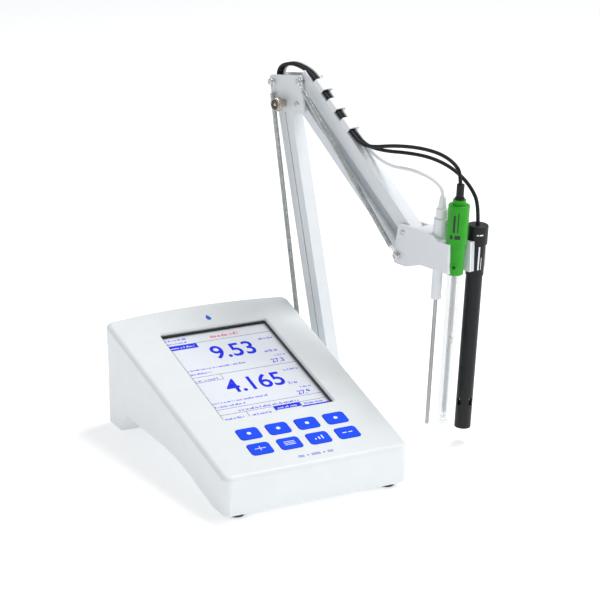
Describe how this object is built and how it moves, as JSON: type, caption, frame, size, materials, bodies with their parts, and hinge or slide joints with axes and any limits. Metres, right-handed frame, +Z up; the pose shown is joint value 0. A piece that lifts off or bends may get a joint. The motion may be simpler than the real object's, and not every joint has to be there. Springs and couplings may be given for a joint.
{
  "type": "ph meter",
  "caption": "Bench pH meter with a sloping display and key panel, and a sprung parallelogram arm that holds three corded probes upright.",
  "frame": {"origin": "on the bench plane, at the foot of the arm's swivel axis, on the underside of the base plate", "axes": "+X to the meter's right, +Y to its back (the display and keys face -Y and up), +Z up"},
  "size_m": [0.2532, 0.2993, 0.2851],
  "materials": {
    "shell_white": "satin moulded",
    "bezel_black": "gloss",
    "lens_clear": "clear",
    "display_white": "lit display face in a metal frame",
    "key_blue": "satin with a small moulded dot",
    "mat_grey": "matt",
    "board_green": "solder mask",
    "steel_screw": "bright zinc",
    "panel_grey": "fine texture",
    "socket_metal": "nickel plated",
    "socket_black": "matt",
    "foot_rubber": "matt",
    "plate_steel": "brushed",
    "arm_grey": "satin powder coat",
    "spring_steel": "wound wire",
    "knob_nickel": "knurled",
    "head_grey": "satin moulded",
    "cap_green": "gloss",
    "probe_black": "satin",
    "electrode_glass": "clear",
    "probe_white": "satin",
    "probe_steel": "fine ground",
    "cord_black": "satin jacket",
    "cord_white": "satin jacket"
  },
  "bodies": {
    "meter": {"top_housing": "shell_white", "bottom_housing": "shell_white", "display_bezel": "bezel_black", "display_lens": "lens_clear", "lcd_module": "display_white", "key_mat": "mat_grey", "keypad_board": "board_green", "main_board": "board_green", "board_screws": "steel_screw", "rear_panel": "panel_grey", "bnc_socket": "socket_metal", "din_socket": "socket_black", "temp_socket": "socket_metal", "dc_jack": "socket_black", "usb_socket": "socket_metal", "power_switch": "socket_black", "rubber_feet": "foot_rubber", "housing_screws": "steel_screw", "base_plate": "plate_steel", "base_screws": "steel_screw", "plug_ph": "socket_metal", "plug_ec": "probe_black", "plug_temp": "probe_white", "ph_cord": "cord_black", "ec_cord": "cord_black", "temp_cord": "cord_white"},
    "key_soft_1_body": {"key_soft_1": "key_blue"},
    "key_soft_2_body": {"key_soft_2": "key_blue"},
    "key_soft_3_body": {"key_soft_3": "key_blue"},
    "key_soft_4_body": {"key_soft_4": "key_blue"},
    "key_cal_body": {"key_cal": "key_blue"},
    "key_mode_body": {"key_mode": "key_blue"},
    "key_setup_body": {"key_setup": "key_blue"},
    "key_help_body": {"key_help": "key_blue"},
    "rocker": {"power_rocker": "socket_black"},
    "swivel": {"arm_base": "arm_grey", "base_pivots": "steel_screw", "post_springs": "spring_steel"},
    "post_rear": {"post_rear_link": "arm_grey"},
    "post_front": {"post_front_link": "arm_grey"},
    "bracket": {"bracket_near_plate": "arm_grey", "bracket_far_plate": "arm_grey", "bracket_pivots": "steel_screw", "arm_springs": "spring_steel"},
    "knob": {"tension_knob": "knob_nickel"},
    "arm_upper": {"arm_channel": "arm_grey", "cable_clips": "probe_white"},
    "arm_lower": {"arm_lower_link": "arm_grey"},
    "head": {"holder_head": "head_grey", "head_pivots": "steel_screw", "ph_cap": "cap_green", "ph_relief": "probe_black", "ph_glass": "electrode_glass", "ph_core": "electrode_glass", "ec_cap": "probe_black", "ec_stem": "probe_black", "temp_handle": "probe_white", "temp_stem": "probe_steel"}
  },
  "joints": [
    {"name": "key_soft_1_press", "type": "slide", "parent": "meter", "child": "key_soft_1_body", "axis": [0, -0.2327, 0.9725], "range_m": [-0.0006, 0], "stiffness_N_per_m": 1000},
    {"name": "key_soft_2_press", "type": "slide", "parent": "meter", "child": "key_soft_2_body", "axis": [0, -0.2327, 0.9725], "range_m": [-0.0006, 0], "stiffness_N_per_m": 1000},
    {"name": "key_soft_3_press", "type": "slide", "parent": "meter", "child": "key_soft_3_body", "axis": [0, -0.2327, 0.9725], "range_m": [-0.0006, 0], "stiffness_N_per_m": 1000},
    {"name": "key_soft_4_press", "type": "slide", "parent": "meter", "child": "key_soft_4_body", "axis": [0, -0.2327, 0.9725], "range_m": [-0.0006, 0], "stiffness_N_per_m": 1000},
    {"name": "key_cal_press", "type": "slide", "parent": "meter", "child": "key_cal_body", "axis": [0, -0.2327, 0.9725], "range_m": [-0.0006, 0], "stiffness_N_per_m": 1000},
    {"name": "key_mode_press", "type": "slide", "parent": "meter", "child": "key_mode_body", "axis": [0, -0.2327, 0.9725], "range_m": [-0.0006, 0], "stiffness_N_per_m": 1000},
    {"name": "key_setup_press", "type": "slide", "parent": "meter", "child": "key_setup_body", "axis": [0, -0.2327, 0.9725], "range_m": [-0.0006, 0], "stiffness_N_per_m": 1000},
    {"name": "key_help_press", "type": "slide", "parent": "meter", "child": "key_help_body", "axis": [0, -0.2327, 0.9725], "range_m": [-0.0006, 0], "stiffness_N_per_m": 1000},
    {"name": "power_rocker_tip", "type": "hinge", "parent": "meter", "child": "rocker", "pos_m": [-0.05589, 0.02728, 0.0345], "axis": [1, 0, 0], "range_deg": [0, 16]},
    {"name": "arm_swivel", "type": "hinge", "parent": "meter", "child": "swivel", "pos_m": [0, 0, 0], "axis": [0, 0, 1], "range_deg": [-18, 2]},
    {"name": "post_lean", "type": "hinge", "parent": "swivel", "child": "post_rear", "pos_m": [-0.00016, 0.00058, 0.022], "axis": [-0.9646, -0.2639, 0], "range_deg": [-24, 3], "deforming": ["post_springs", "ph_cord", "ec_cord", "temp_cord"]},
    {"name": "post_follow", "type": "hinge", "parent": "swivel", "child": "post_front", "pos_m": [0.00216, -0.00791, 0.022], "axis": [-0.9646, -0.2639, 0], "range_deg": [-24, 3]},
    {"name": "bracket_level", "type": "hinge", "parent": "post_rear", "child": "bracket", "pos_m": [-0.01403, 0.05127, 0.25146], "axis": [-0.9646, -0.2639, 0], "range_deg": [-3, 24]},
    {"name": "tension_knob_turn", "type": "hinge", "parent": "bracket", "child": "knob", "pos_m": [-0.02521, 0.03909, 0.25146], "axis": [-0.9646, -0.2639, 0], "range_deg": [-180, 180]},
    {"name": "arm_lift", "type": "hinge", "parent": "bracket", "child": "arm_upper", "pos_m": [-0.00639, 0.02334, 0.2721], "axis": [-0.9646, -0.2639, 0], "range_deg": [-3, 55], "deforming": ["arm_springs"]},
    {"name": "arm_follow", "type": "hinge", "parent": "bracket", "child": "arm_lower", "pos_m": [-0.00763, 0.02788, 0.2525], "axis": [-0.9646, -0.2639, 0], "range_deg": [-3, 55]},
    {"name": "head_level", "type": "hinge", "parent": "arm_upper", "child": "head", "pos_m": [0.02543, -0.09297, 0.17109], "axis": [-0.9646, -0.2639, 0], "range_deg": [-55, 3]}
  ],
  "couplings": [
    {"joint": "post_follow", "follows": "post_lean", "ratio": 1},
    {"joint": "bracket_level", "follows": "post_lean", "ratio": -1},
    {"joint": "arm_follow", "follows": "arm_lift", "ratio": 1},
    {"joint": "head_level", "follows": "arm_lift", "ratio": -1}
  ]
}
